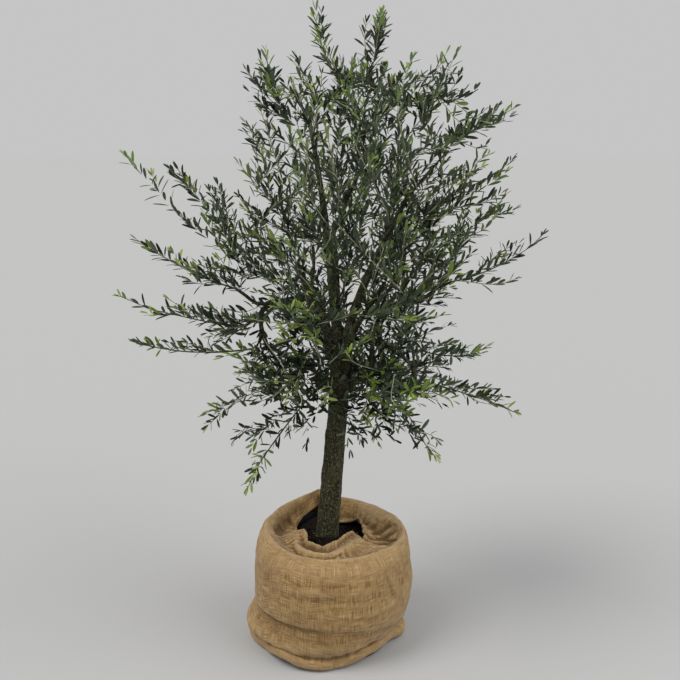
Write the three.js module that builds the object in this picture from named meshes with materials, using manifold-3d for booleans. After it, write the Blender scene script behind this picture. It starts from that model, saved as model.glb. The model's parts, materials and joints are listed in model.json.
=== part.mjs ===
// Potted olive tree: a half-standard olive in a nursery pot dressed in a burlap sack.
// Millimetres, +Z up, origin at the centre of the pot's flat underside.
// Directions round the tree are azimuths in degrees: 0 is +X, 90 is +Y (the back), 270 the front.
import * as THREE from 'three';
import { mergeVertices } from 'three/addons/utils/BufferGeometryUtils.js';
import Module from 'manifold-3d';

const wasm = await Module();
wasm.setup();

// ---------------------------------------------------------------- driving dimensions
const GAP = 0.4; // clearance between neighbouring solids
const WELD = 1e-4;

const POT = { height: 345, topRadius: 219, footRadius: 184, wall: 3, lip: 5, lipHeight: 22, sides: 28 };
const SOIL = { top: 322, sides: 24 };
const WRAP = { height: 374, rim: 247, belly: 259, hem: 232, edge: 122, cloth: 7, sides: 28 };
const LOW_FOLD = { azimuth: 178, width: 32, out: 42, height: 105 }; // slack cloth slumped out
const LOW_TUCK = { azimuth: 300, width: 28, in: 36 }; // cloth gathered in under the drum
const MOUTH = { swing: 20 }; // the mouth opens wider to the back than to the front
const PEAK = { azimuth: 103, width: 24, rise: 42 }; // the rim rises where the cloth's ends cross

const TRUNK = { foot: SOIL.top + GAP, fork: 985, footRadius: 37, topRadius: 30, flare: 3, flareHeight: 35 };
const TRUNK_LEAN = { footX: -25, footY: 42, forkX: 20, bow: 5 }; // it stands a little behind the pot's centre

const CROWN = { axisX: 22, leanX: 0.07, top: 1995 };
const LIMB = { sides: 8, steps: 6 };
const PLUME = { sides: 7, steps: 6 };
const CLUMP = { sides: 10, steps: 6 };

// Rings of leafy clumps round the crown's axis, from the lowest ring up: height of the ring,
// azimuth of its first clump, and each clump's reach from the axis. half = out, round, up.
const RINGS = [
  { name: 'skirt', height: 905, first: 18, reach: [232, 222, 232, 215, 228], half: [132, 138, 104] },
  { name: 'waist', height: 1110, first: 0, reach: [235, 230, 225, 235, 215, 230], half: [158, 130, 118] },
  { name: 'shoulder', height: 1345, first: 28, reach: [265, 245, 235, 225, 260], half: [165, 160, 140] },
  { name: 'upper', height: 1580, first: 350, reach: [235, 205, 215, 205], half: [158, 158, 128] },
  { name: 'top', height: 1770, first: 0, reach: [175, 125, 165, 125], half: [116, 118, 94] },
];

// Long leafy shoots that stand out of the clumps. from and to are [reach, height]; swing is the
// azimuth; rise bends the shoot up (or down) halfway; girth is its half width with its leaves.
const PLUMES = [
  { name: 'left_high', swing: 176, from: [300, 1235], to: [698, 1586], rise: -45, girth: 40 },
  { name: 'left_steep', swing: 188, from: [290, 1290], to: [535, 1542], rise: -25, girth: 38 },
  { name: 'left_middle', swing: 184, from: [260, 1175], to: [640, 1340], rise: -45, girth: 42 },
  { name: 'left_long', swing: 179, from: [280, 1060], to: [706, 1160], rise: -40, girth: 38 },
  { name: 'left_low', swing: 186, from: [280, 1000], to: [642, 1040], rise: -35, girth: 36 },
  { name: 'right_crest', swing: 4, from: [220, 1560], to: [410, 1704], rise: -12, girth: 42 },
  { name: 'right_high', swing: 352, from: [240, 1410], to: [452, 1550], rise: -18, girth: 40 },
  { name: 'right_middle', swing: 8, from: [250, 1320], to: [492, 1418], rise: -20, girth: 36 },
  { name: 'right_long', swing: 358, from: [250, 1190], to: [594, 1362], rise: -52, girth: 40 },
  { name: 'right_low', swing: 5, from: [240, 960], to: [472, 976], rise: 8, girth: 40 },
  { name: 'right_droop', swing: 354, from: [220, 930], to: [556, 812], rise: -22, girth: 44 },
  { name: 'droop_front_right', swing: 338, from: [190, 860], to: [338, 668], rise: 12, girth: 40 },
  { name: 'droop_front_left', swing: 204, from: [110, 830], to: [292, 578], rise: 30, girth: 36 },
  { name: 'droop_left', swing: 183, from: [200, 880], to: [414, 745], rise: 18, girth: 46 },
  { name: 'droop_back', swing: 82, from: [200, 880], to: [440, 760], rise: 20, girth: 44 },
  { name: 'back_long', swing: 68, from: [240, 1150], to: [545, 1330], rise: -40, girth: 40 },
  { name: 'back_left', swing: 122, from: [240, 1330], to: [520, 1520], rise: -35, girth: 40 },
  { name: 'back_low', swing: 108, from: [240, 1040], to: [520, 1080], rise: -30, girth: 38 },
  { name: 'front_long', swing: 252, from: [230, 1120], to: [500, 1235], rise: -40, girth: 40 },
  { name: 'front_low', swing: 303, from: [220, 960], to: [470, 990], rise: -18, girth: 40 },
  { name: 'spire_left', swing: 170, from: [190, 1660], to: [302, 1884], rise: 10, girth: 36 },
  { name: 'spire_leader', swing: 192, from: [70, 1780], to: [145, CROWN.top], rise: 6, girth: 34 },
  { name: 'spire_middle', swing: 40, from: [40, 1800], to: [62, CROWN.top - 8], rise: 0, girth: 38 },
];

// Main boughs: azimuth, height where each leaves the trunk, the clump it feeds and its girth.
const BOUGHS = [
  { name: 'leader_left', leaves: 975, feeds: 'top_3', girth: 20 },
  { name: 'leader_right', leaves: 975, feeds: 'upper_1', girth: 21 },
  { name: 'left', leaves: 960, feeds: 'shoulder_3', girth: 19 },
  { name: 'right', leaves: 950, feeds: 'shoulder_5', girth: 17 },
  { name: 'back', leaves: 965, feeds: 'shoulder_2', girth: 17 },
  { name: 'front', leaves: 955, feeds: 'waist_5', girth: 15 },
  { name: 'low_left', leaves: 900, feeds: 'skirt_3', girth: 13 },
  { name: 'low_right', leaves: 885, feeds: 'skirt_1', girth: 13 },
];

// ---------------------------------------------------------------- materials
const finish = (color, roughness, metalness = 0) =>
  new THREE.MeshStandardMaterial({ color, roughness, metalness });
const BARK = finish(0x4a4436, 0.9);
const BLACK_PLASTIC = finish(0x17181a, 0.55);
const EARTH = finish(0x17120e, 0.95);
const BURLAP = finish(0x9c8158, 0.95);
const LEAVES = finish(0x4a5a3a, 0.6);

// ---------------------------------------------------------------- solids
// A closed geometry as a solid that can be joined and cut, and back again.
function solidOf(geometry) {
  geometry.deleteAttribute('normal');
  geometry.deleteAttribute('uv');
  const merged = mergeVertices(geometry, WELD);
  return new wasm.Manifold(
    new wasm.Mesh({
      numProp: 3,
      vertProperties: new Float32Array(merged.attributes.position.array),
      triVerts: new Uint32Array(merged.index.array),
    }),
  );
}

function geometryOf(solid) {
  const mesh = solid.getMesh();
  const geometry = new THREE.BufferGeometry();
  geometry.setAttribute('position', new THREE.BufferAttribute(mesh.vertProperties, 3));
  geometry.setIndex(new THREE.BufferAttribute(mesh.triVerts, 1));
  geometry.computeVertexNormals();
  return geometry;
}

const largestPiece = (solid) =>
  solid.decompose().reduce((best, piece) => (piece.volume() > best.volume() ? piece : best));

// ---------------------------------------------------------------- places
const turn = (degrees) => THREE.MathUtils.degToRad(degrees);
const crownAxisX = (height) => CROWN.axisX + CROWN.leanX * (height - TRUNK.fork);

// The point at a reach from the crown's axis, in an azimuth, at a height.
function crownPoint(azimuth, reach, height) {
  return new THREE.Vector3(
    crownAxisX(height) + reach * Math.cos(turn(azimuth)),
    reach * Math.sin(turn(azimuth)),
    height,
  );
}

function trunkCentre(height) {
  const t = (height - TRUNK.foot) / (TRUNK.fork - TRUNK.foot);
  const x = THREE.MathUtils.lerp(TRUNK_LEAN.footX, TRUNK_LEAN.forkX, t);
  const y = TRUNK_LEAN.footY * (1 - t);
  return new THREE.Vector3(x + TRUNK_LEAN.bow * Math.sin(Math.PI * t), y, height);
}

// ---------------------------------------------------------------- shapes
// Every vertex of a geometry moved by a rule: rule(point) changes the point in place.
function reshape(geometry, rule) {
  const position = geometry.attributes.position;
  const point = new THREE.Vector3();
  for (let i = 0; i < position.count; i++) {
    rule(point.fromBufferAttribute(position, i));
    position.setXYZ(i, point.x, point.y, point.z);
  }
  return geometry;
}

// A unit form whose long axis is Y, 0 to 1, laid along a curve in the plane of an azimuth.
function alongCurve(form, curve, azimuth, radiusAt) {
  const across = new THREE.Vector3(-Math.sin(turn(azimuth)), Math.cos(turn(azimuth)), 0);
  return reshape(form, (point) => {
    const t = THREE.MathUtils.clamp(point.y, 0, 1);
    const outward = across.clone().cross(curve.getTangent(t)).normalize();
    const radius = radiusAt(t);
    const x = point.x * radius;
    const z = point.z * radius;
    point.copy(curve.getPoint(t)).addScaledVector(across, x).addScaledVector(outward, z);
  });
}

// A closed round bar along a curve, for the boughs.
function bar(curve, azimuth, radiusAt) {
  const form = new THREE.CylinderGeometry(1, 1, 1, LIMB.sides, LIMB.steps).translate(0, 0.5, 0);
  return solidOf(alongCurve(form, curve, azimuth, radiusAt));
}

// A closed spindle along a curve, for a leafy shoot.
function spindle(curve, azimuth, radiusAt) {
  const form = new THREE.SphereGeometry(1, PLUME.sides, PLUME.steps);
  reshape(form, (point) => {
    point.y = (point.y + 1) / 2;
  });
  return solidOf(alongCurve(form, curve, azimuth, radiusAt));
}

// ---------------------------------------------------------------- pot, soil and sack
function lathe(profile, sides) {
  const points = profile.map(([radius, height]) => new THREE.Vector2(radius, height));
  return new THREE.LatheGeometry(points, sides).rotateX(Math.PI / 2);
}

const potRadius = (height) =>
  THREE.MathUtils.lerp(POT.footRadius, POT.topRadius, height / POT.height);

function pot() {
  const { height, wall, lip, lipHeight } = POT;
  const lipFoot = height - lipHeight;
  const profile = [
    [0, 0],
    [potRadius(0), 0],
    [potRadius(lipFoot), lipFoot],
    [potRadius(lipFoot) + lip, lipFoot],
    [potRadius(height) + lip, height],
    [potRadius(height) - wall, height],
    [potRadius(wall) - wall, wall],
    [0, wall],
  ];
  return lathe(profile, POT.sides);
}

function soil() {
  const inside = (height) => potRadius(height) - POT.wall - 2;
  const bottom = POT.wall + GAP;
  const profile = [
    [0, bottom],
    [inside(bottom), bottom],
    [inside(SOIL.top - 10), SOIL.top - 10],
    [inside(SOIL.top) - 12, SOIL.top],
    [0, SOIL.top],
  ];
  return lathe(profile, SOIL.sides);
}

// A smooth bump of height 1 round an azimuth, in degrees.
function bump(angle, azimuth, width) {
  const away = THREE.MathUtils.euclideanModulo((angle * 180) / Math.PI - azimuth + 180, 360) - 180;
  return Math.exp(-((away / width) ** 2));
}

// The sack: a ring of cloth that stands on the floor, bellies out, rolls over the pot's rim and is
// tucked in over the soil. Its section is one closed outline, and folds change it round about.
function burlapWrap() {
  const { height, rim, belly, hem, edge, cloth, sides } = WRAP;
  const potLip = potRadius(POT.height) + POT.lip;
  const section = [
    [hem, 1],
    [hem + 10, 45],
    [belly - 5, 110],
    [belly, 190],
    [rim + 4, 290],
    [rim - 4, height - 29],
    [rim - 20, height - 4],
    [rim - 42, height],
    [edge + 30, height - 12],
    [edge, height - 10],
    [edge + 2, height - 16],
    [edge + 30, height - 20],
    [potLip - 12, POT.height + 9],
    [potLip + 3, POT.height + 4],
    [rim + 4 - cloth, 290],
    [belly - cloth, 190],
    [hem + 10 - cloth, 45],
    [hem - cloth, 1],
    [hem, 1],
  ];
  return reshape(lathe(section, sides), (point) => {
    const angle = Math.atan2(point.y, point.x);
    const radius = Math.hypot(point.x, point.y);
    const low = Math.max(0, 1 - point.z / LOW_FOLD.height);
    const slump = LOW_FOLD.out * bump(angle, LOW_FOLD.azimuth, LOW_FOLD.width);
    const gather = LOW_TUCK.in * bump(angle, LOW_TUCK.azimuth, LOW_TUCK.width);
    const mouth = radius < edge + 40 ? MOUTH.swing * Math.sin(angle) : 0;
    const scale = (radius + low * (slump - gather) + mouth) / radius;
    const crest = THREE.MathUtils.smoothstep(point.z, rim + 75, height);
    const peak = radius > rim - 50 ? PEAK.rise * bump(angle, PEAK.azimuth, PEAK.width) : 0;
    point.set(point.x * scale, point.y * scale, point.z + crest * peak);
  });
}

// ---------------------------------------------------------------- trunk and boughs
function trunk(grow = 0) {
  const { foot, fork, footRadius, topRadius, flare, flareHeight } = TRUNK;
  const form = new THREE.CylinderGeometry(1, 1, 1, 14, 10).translate(0, 0.5, 0);
  return solidOf(
    reshape(form, (point) => {
      const t = point.y ** 1.4; // stations lie closer together at the foot
      const height = THREE.MathUtils.lerp(foot, fork, t);
      const angle = Math.atan2(point.z, point.x);
      const footFlare = flare * Math.exp(-(height - foot) / flareHeight);
      const uneven = 1.5 * Math.sin(3 * angle + height / 90) + footFlare * 0.3 * Math.sin(5 * angle);
      const round = THREE.MathUtils.lerp(footRadius, topRadius, t) + footFlare + uneven + grow;
      const radius = round * Math.hypot(point.x, point.z);
      const centre = trunkCentre(height);
      point.set(centre.x + radius * Math.cos(angle), centre.y - radius * Math.sin(angle), height);
    }),
  );
}

function bough(spec, clumps, grow = 0) {
  const target = clumps.find((clump) => clump.name === spec.feeds).centre;
  const start = trunkCentre(spec.leaves - 25);
  const climb = target.z - start.z;
  const bend = start.clone().lerp(target, 0.42).setZ(start.z + climb * 0.66);
  const azimuth = (Math.atan2(target.y - start.y, target.x - start.x) * 180) / Math.PI;
  const curve = new THREE.QuadraticBezierCurve3(start, bend, target);
  return bar(curve, azimuth, (t) => spec.girth * (1 - 0.55 * t) + grow);
}

// ---------------------------------------------------------------- foliage
// An uneven rounded lump; the waves that roughen it differ from lump to lump.
function lump(clump, grow = 0) {
  const { centre, axes, half, phase } = clump;
  const form = new THREE.SphereGeometry(1, CLUMP.sides, CLUMP.steps);
  return solidOf(
    reshape(form, (point) => {
      const wave =
        0.09 * Math.sin(3.1 * point.x + phase) +
        0.08 * Math.sin(4.3 * point.y + 1.7 * phase) +
        0.07 * Math.sin(5.2 * point.z + 2.3 * phase);
      const size = half.map((value) => value * (1 + wave) + grow);
      const [a, b, c] = [point.x * size[0], point.y * size[1], point.z * size[2]];
      point.copy(centre).addScaledVector(axes[0], a).addScaledVector(axes[1], b);
      point.addScaledVector(axes[2], c);
    }),
  );
}

// Each clump tilts up a little as it leaves the axis, as the shoots in it do.
function clumpFrame(azimuth, tilt) {
  const across = new THREE.Vector3(-Math.sin(turn(azimuth)), Math.cos(turn(azimuth)), 0);
  const out = new THREE.Vector3(Math.cos(turn(azimuth)), Math.sin(turn(azimuth)), tilt).normalize();
  return [out, across, out.clone().cross(across)];
}

function crownClumps() {
  const clumps = [];
  RINGS.forEach((ring, level) => {
    ring.reach.forEach((reach, i) => {
      const azimuth = ring.first + (360 * i) / ring.reach.length;
      const phase = 1.3 * level + 2.1 * i;
      const height = ring.height + 14 * Math.sin(2.4 * i + level);
      clumps.push({
        name: `${ring.name}_${i + 1}`,
        centre: crownPoint(azimuth, reach, height),
        axes: clumpFrame(azimuth, level === 0 ? -0.12 : 0.3),
        half: ring.half,
        phase,
      });
    });
  });
  return clumps;
}

// How far a clump reaches from its centre in a direction.
const support = (clump, direction) =>
  Math.hypot(...clump.axes.map((axis, i) => axis.dot(direction) * clump.half[i]));

// Neighbouring clumps part at a plane between them, so that no two overlap.
function partClumps(clumps) {
  const solids = clumps.map((clump) => lump(clump));
  clumps.forEach((one, i) => {
    clumps.forEach((two, j) => {
      if (j <= i) return;
      const line = two.centre.clone().sub(one.centre);
      const distance = line.length();
      const normal = line.normalize();
      const [reachOne, reachTwo] = [support(one, normal), support(two, normal)];
      if (distance > 1.35 * (reachOne + reachTwo)) return;
      const share = (distance * reachOne) / (reachOne + reachTwo);
      const level = one.centre.dot(normal) + share;
      const keepTwo = [normal.x, normal.y, normal.z];
      const keepOne = keepTwo.map((value) => -value);
      solids[i] = solids[i].trimByPlane(keepOne, -(level - GAP));
      solids[j] = solids[j].trimByPlane(keepTwo, level + GAP);
    });
  });
  return solids;
}

function plume(spec, grow = 0) {
  const start = crownPoint(spec.swing, ...spec.from);
  const tip = crownPoint(spec.swing, ...spec.to);
  const bend = start.clone().lerp(tip, 0.55);
  bend.z += spec.rise * 1.4;
  const curve = new THREE.QuadraticBezierCurve3(start, bend, tip);
  return spindle(curve, spec.swing, () => spec.girth + grow);
}

// ---------------------------------------------------------------- assembly
const tree = new THREE.Group();
tree.name = 'potted_olive_tree';

function add(name, geometry, material) {
  const mesh = new THREE.Mesh(geometry, material);
  mesh.name = name;
  tree.add(mesh);
}

add('pot', pot(), BLACK_PLASTIC);
add('soil', soil(), EARTH);
add('burlap_wrap', burlapWrap(), BURLAP);
add('trunk', geometryOf(trunk()), BARK);

// Boughs give way to the trunk, to the boughs before them and to the clump that each one feeds.
const clumps = crownClumps();
const wood = [trunk(GAP)];
for (const spec of BOUGHS) {
  const fed = clumps.find((clump) => clump.name === spec.feeds);
  const cutters = [...wood, lump(fed, GAP)];
  const limb = cutters.reduce((solid, cutter) => solid.subtract(cutter), bough(spec, clumps));
  add(`bough_${spec.name}`, geometryOf(largestPiece(limb)), BARK);
  wood.push(bough(spec, clumps, GAP));
}

// Clumps give way to the wood; shoots give way to the wood, the clumps and the shoots before them.
const cutAway = (solid, cutters) =>
  largestPiece(cutters.reduce((left, cutter) => left.subtract(cutter), solid));

partClumps(clumps).forEach((solid, i) => {
  add(`foliage_${clumps[i].name}`, geometryOf(cutAway(solid, wood)), LEAVES);
});

const taken = [...wood, ...clumps.map((clump) => lump(clump, GAP))];
for (const spec of PLUMES) {
  add(`foliage_${spec.name}`, geometryOf(cutAway(plume(spec), taken)), LEAVES);
  taken.push(plume(spec, GAP));
}

export default tree;
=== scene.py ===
# The looks of the potted olive tree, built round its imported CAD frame. Metres, +Z up.
import json
import math

import bpy
import numpy as np
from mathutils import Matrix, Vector
from mathutils.bvhtree import BVHTree

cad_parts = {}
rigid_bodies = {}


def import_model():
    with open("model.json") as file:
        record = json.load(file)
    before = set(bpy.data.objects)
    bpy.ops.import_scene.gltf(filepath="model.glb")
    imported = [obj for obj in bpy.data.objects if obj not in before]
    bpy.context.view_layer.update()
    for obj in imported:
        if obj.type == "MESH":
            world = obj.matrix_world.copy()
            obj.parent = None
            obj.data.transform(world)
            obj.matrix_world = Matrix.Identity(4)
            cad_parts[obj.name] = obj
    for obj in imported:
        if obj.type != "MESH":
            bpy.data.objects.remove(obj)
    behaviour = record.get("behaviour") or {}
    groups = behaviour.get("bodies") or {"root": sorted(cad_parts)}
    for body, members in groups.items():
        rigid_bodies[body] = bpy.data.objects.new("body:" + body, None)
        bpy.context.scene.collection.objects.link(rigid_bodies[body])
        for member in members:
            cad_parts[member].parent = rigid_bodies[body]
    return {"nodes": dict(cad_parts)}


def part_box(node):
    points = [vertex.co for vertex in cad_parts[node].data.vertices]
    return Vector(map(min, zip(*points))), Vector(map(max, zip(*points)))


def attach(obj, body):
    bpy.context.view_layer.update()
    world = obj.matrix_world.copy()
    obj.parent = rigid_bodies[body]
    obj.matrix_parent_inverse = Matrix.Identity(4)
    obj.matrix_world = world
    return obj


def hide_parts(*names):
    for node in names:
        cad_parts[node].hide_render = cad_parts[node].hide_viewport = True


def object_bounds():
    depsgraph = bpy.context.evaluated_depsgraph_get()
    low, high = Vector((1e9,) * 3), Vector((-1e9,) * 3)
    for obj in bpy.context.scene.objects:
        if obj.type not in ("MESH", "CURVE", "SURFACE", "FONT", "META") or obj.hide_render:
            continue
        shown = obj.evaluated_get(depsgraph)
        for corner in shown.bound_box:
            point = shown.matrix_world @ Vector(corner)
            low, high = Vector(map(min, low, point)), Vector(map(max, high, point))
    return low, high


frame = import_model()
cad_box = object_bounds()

BODY = "root"
UP = np.array([0.0, 0.0, 1.0])
SEED = 41

# ---------------------------------------------------------------- driving sizes
CAMERA = {"place": (0.0198, -2.6, 1.65), "down": 13.6, "lens": 45.3}

LEAF = {"length": 0.043, "width": 0.0096, "thick": 0.0005, "pair_gap": 0.0188}
LEAF_STATIONS = ((0.12, 0.36), (0.36, 0.88), (0.64, 1.0), (0.88, 0.68))  # along, half width
LEAF_FALL = 0.13  # share of the leaves that are missing from their pairs
NEW_GROWTH = 0.062  # length of a growing shoot's end that carries young leaves
NEWEST = 0.028  # length of its very tip, where they are freshest
PIECE_LIMIT = 190000  # triangles in one joined piece of leaves

TWIG_TIP = 0.0012  # radius of a shoot at its tip
PIPE = 2.35  # a limb's radius grows as its number of tips to the power 1 / PIPE
STEM_START = 0.74  # lowest height on the trunk that a limb may leave it at
BARK_FROM, TWIG_FROM = 0.0045, 0.0019  # least foot radius of a bough and of a woody twig

# The clumps are filled in two passes: how far apart the tips are, how far back a shoot joins the
# wood, its level in the tree, and how much of its foot is bare.
PASSES = (("branchlets", 0.125, 0.13, 3, 0.45), ("shoots", 0.0615, 0.155, 4, 0.1))
CLOSENESS = {"top": 0.84, "upper": 1.02, "shoulder": 1.12, "waist": 1.17, "skirt": 0.97}  # spacing by clump
FLARE = {"top": (0.30, 0.10), "upper": (0.10, 0.08), "shoulder": (0.06, 0.05)}  # tips' reach past a clump
SIDE_SHOOT_ROOM = 0.02  # how far side shoots of the long shoots stay inside the CAD's box
HANGING = (  # tips of the shoots that hang below the crown
    (0.142, 0.02, 0.680), (0.085, -0.06, 0.715), (0.205, 0.09, 0.700), (-0.085, -0.05, 0.700),
    (-0.150, 0.08, 0.690), (-0.262, -0.02, 0.672), (-0.325, 0.03, 0.680), (0.250, -0.08, 0.712),
    (0.02, 0.20, 0.700), (0.05, -0.20, 0.735),
)

KNOTS = (  # where boughs were pruned off the trunk: azimuth, height and size
    (250, 0.52, 0.006), (200, 0.71, 0.005), (320, 0.62, 0.004), (80, 0.60, 0.006), (300, 0.83, 0.007),
)

CLOTH = 0.0024  # thickness of the burlap
WEAVE = 0.0027  # pitch of its threads
CLOTH_RADIUS = 0.25  # radius at which the weave's pitch is true round the sack
SOIL_CLEARANCE = 0.3245  # the tucked cloth never dips below this height


# ---------------------------------------------------------------- small helpers
def rng_for(name):
    """A random generator of its own for each job, the same on every run."""
    return np.random.default_rng([SEED, *name.encode()])


def unit(v):
    return v / np.maximum(np.linalg.norm(v, axis=-1, keepdims=True), 1e-12)


def smoothstep(x, low, high):
    t = np.clip((x - low) / (high - low), 0, 1)
    return t * t * (3 - 2 * t)


def lattice_noise(p, seed=0):
    """Smooth noise between -1 and 1 at points p, from a hashed unit lattice."""
    cell = np.floor(p).astype(np.int64)
    f = p - cell
    f = f * f * (3 - 2 * f)
    total = 0.0
    for corner in np.ndindex(2, 2, 2):
        c = cell + np.array(corner)
        h = c[..., 0] * 73856093 ^ c[..., 1] * 19349663 ^ c[..., 2] * 83492791 ^ (seed + 1) * 40503
        h = (h ^ (h >> 13)) * 1274126177 & 0xFFFFFFFF
        h = (h ^ (h >> 16)) * 2246822519 & 0xFFFFFFFF
        value = (h ^ (h >> 15)) & 0xFFFF
        weight = np.prod(np.where(np.array(corner) == 1, f, 1 - f), axis=-1)
        total = total + weight * (value / 32767.5 - 1)
    return total


def fractal(p, octaves=4, seed=0):
    return sum(lattice_noise(p * 2**k, seed + k) / 2**k for k in range(octaves))


def around(stops, angle):
    """A smooth closed curve of values round the pot: stops maps azimuth in degrees to value."""
    azimuths = sorted(stops)
    values = [stops[a] for a in azimuths]
    xs = np.array([azimuths[-1] - 360, *azimuths, azimuths[0] + 360], float)
    ys = np.array([values[-1], *values, values[0]], float)
    fine = np.arange(0, 360, 1.0)
    line = np.interp(fine, xs, ys)
    kernel = np.exp(-np.linspace(-2, 2, 9) ** 2)
    wrapped = np.concatenate([line[-4:], line, line[:4]])
    smooth = np.convolve(wrapped, kernel / kernel.sum(), "valid")
    degrees = np.degrees(angle) % 360
    return np.interp(degrees, np.append(fine, 360), np.append(smooth, smooth[0]))


def turn_from(angle, azimuth):
    """Degrees between an angle in radians and an azimuth in degrees, the short way round."""
    return (np.degrees(angle) - azimuth + 180) % 360 - 180


def bump(angle, azimuth, width):
    """A bump of height 1 round an azimuth; azimuth and width are in degrees."""
    return np.exp(-((turn_from(angle, azimuth) / width) ** 2))


def full_turn(columns):
    return np.linspace(0, 2 * math.pi, columns, endpoint=False)


def read_off(x, xs, points):
    """Points read off a line at the stations x, where xs are the stations of its own points."""
    return np.stack([np.interp(x, xs, column) for column in points.T], -1)


def on_fit(fit, x):
    """Points of a fitted curve: fit has one column of coefficients for each axis."""
    return np.stack([np.polyval(column, x) for column in fit.T], -1)


def main_axis(points):
    """The direction in which a cloud of points is longest."""
    _, _, axes = np.linalg.svd(points - points.mean(0))
    return axes[0]


def run_along(points):
    """The length of a line of points up to each of them."""
    return np.concatenate([[0], np.cumsum(np.linalg.norm(np.diff(points, axis=0), axis=1))])


def mesh_piece(name, vertices, triangles, materials, indices=None, uv=None, sharp=None):
    """A mesh object from arrays: indices is each triangle's material, sharp a test of edges."""
    vertices = np.asarray(vertices, np.float32)
    triangles = np.asarray(triangles, np.int32)
    mesh = bpy.data.meshes.new(name)
    count = len(triangles)
    mesh.vertices.add(len(vertices))
    mesh.vertices.foreach_set("co", vertices.ravel())
    mesh.loops.add(count * 3)
    mesh.loops.foreach_set("vertex_index", triangles.ravel())
    mesh.polygons.add(count)
    mesh.polygons.foreach_set("loop_start", np.arange(0, count * 3, 3, dtype=np.int32))
    for material in materials:
        mesh.materials.append(material)
    if indices is not None:
        mesh.polygons.foreach_set("material_index", np.asarray(indices, np.int32))
    mesh.polygons.foreach_set("use_smooth", np.ones(count, bool))
    mesh.update(calc_edges=True)
    if uv is not None:
        layer = mesh.uv_layers.new(name="UVMap")
        layer.data.foreach_set("uv", np.asarray(uv, np.float32)[triangles.ravel()].ravel())
    if sharp is not None:
        ends = np.empty(len(mesh.edges) * 2, np.int32)
        mesh.edges.foreach_get("vertices", ends)
        flags = mesh.attributes.new("sharp_edge", "BOOLEAN", "EDGE")
        flags.data.foreach_set("value", sharp(ends.reshape(-1, 2)))
    mesh.validate()
    piece = bpy.data.objects.new(name, mesh)
    bpy.context.scene.collection.objects.link(piece)
    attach(piece, BODY)
    return piece


def grid_triangles(rows, columns):
    """The triangles of a grid of rows by columns whose last column joins its first."""
    r = np.arange(rows - 1)[:, None]
    c = np.arange(columns)[None, :]
    a = r * columns + c
    b = r * columns + (c + 1) % columns
    d, e = a + columns, b + columns
    return np.concatenate([np.stack([a, b, e], -1), np.stack([a, e, d], -1)]).reshape(-1, 3)

def closed_skin(skin, columns, first, last):
    """A grid of points round a limb or a pot, closed by a fan on a point at each end."""
    skin = skin.reshape(-1, 3)
    n = len(skin)
    top = n - columns
    c = np.arange(columns)
    d = (c + 1) % columns
    foot = np.stack([np.full(columns, n), d, c], -1)
    head = np.stack([np.full(columns, n + 1), top + c, top + d], -1)
    return np.vstack([skin, first, last]), np.vstack([grid_triangles(n // columns, columns), foot, head])


def nodes_named(start):
    return [name for name in frame["nodes"] if name.startswith(start)]


def node_mesh(name):
    """A CAD node's vertices and triangles."""
    mesh = frame["nodes"][name].data
    vertices = np.empty(len(mesh.vertices) * 3)
    mesh.vertices.foreach_get("co", vertices)
    mesh.calc_loop_triangles()
    triangles = np.empty(len(mesh.loop_triangles) * 3, np.int32)
    mesh.loop_triangles.foreach_get("vertices", triangles)
    return vertices.reshape(-1, 3), triangles.reshape(-1, 3)


# ---------------------------------------------------------------- materials
class Shader:
    """A material's node tree, with short calls for the nodes that the materials here share."""

    def __init__(self, name, roughness, **constants):
        self.material = bpy.data.materials.new(name)
        self.material.use_nodes = True
        self.tree = self.material.node_tree
        self.bsdf = self.tree.nodes["Principled BSDF"]
        self.bsdf.inputs["Roughness"].default_value = roughness
        for socket, value in constants.items():
            self.bsdf.inputs[socket.replace("_", " ")].default_value = value
        self.coords = None

    def node(self, kind, links=None, **settings):
        node = self.tree.nodes.new(kind)
        for key, value in settings.items():
            setattr(node, key, value)
        for socket, source in (links or {}).items():
            if hasattr(source, "is_output"):
                self.tree.links.new(source, node.inputs[socket])
            else:
                node.inputs[socket].default_value = source
        return node

    def place(self, kind="Object", scale=(1, 1, 1)):
        if self.coords is None:
            self.coords = self.node("ShaderNodeTexCoord")
        links = {"Vector": self.coords.outputs[kind], "Scale": scale}
        return self.node("ShaderNodeMapping", links).outputs["Vector"]

    def noise(self, vector, scale, detail=4.0, rough=0.55):
        links = {"Vector": vector, "Scale": scale, "Detail": detail, "Roughness": rough}
        return self.node("ShaderNodeTexNoise", links).outputs["Fac"]

    def ramp(self, value, *stops):
        node = self.node("ShaderNodeValToRGB", {"Fac": value})
        elements = node.color_ramp.elements
        while len(elements) < len(stops):
            elements.new(0.5)
        for element, (place, color) in zip(elements, stops):
            element.position = place
            element.color = (*color, 1) if len(color) == 3 else (color[0],) * 3 + (1,)
        return node.outputs["Color"]

    def math(self, operation, a, b=0.0):
        return self.node("ShaderNodeMath", {0: a, 1: b}, operation=operation).outputs[0]

    def add(self, a, b):
        return self.math("ADD", a, b)

    def times(self, a, b):
        return self.math("MULTIPLY", a, b)

    def mix(self, factor, a, b):
        node = self.node("ShaderNodeMix", data_type="RGBA")
        for index, source in ((0, factor), (6, a), (7, b)):
            if hasattr(source, "is_output"):
                self.tree.links.new(source, node.inputs[index])
            elif index:
                node.inputs[index].default_value = (*source, 1)
            else:
                node.inputs[index].default_value = source
        return node.outputs[2]

    def color(self, source):
        self.tree.links.new(source, self.bsdf.inputs["Base Color"])

    def bump(self, height, distance, strength):
        links = {"Height": height, "Distance": distance, "Strength": strength}
        node = self.node("ShaderNodeBump", links)
        self.tree.links.new(node.outputs["Normal"], self.bsdf.inputs["Normal"])


def srgb(r, g, b):
    """A colour named in 0 to 255 steps, as the linear values that shaders take."""
    return tuple(((c / 255 + 0.055) / 1.055) ** 2.4 if c > 10 else c / 255 / 12.92 for c in (r, g, b))


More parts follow.
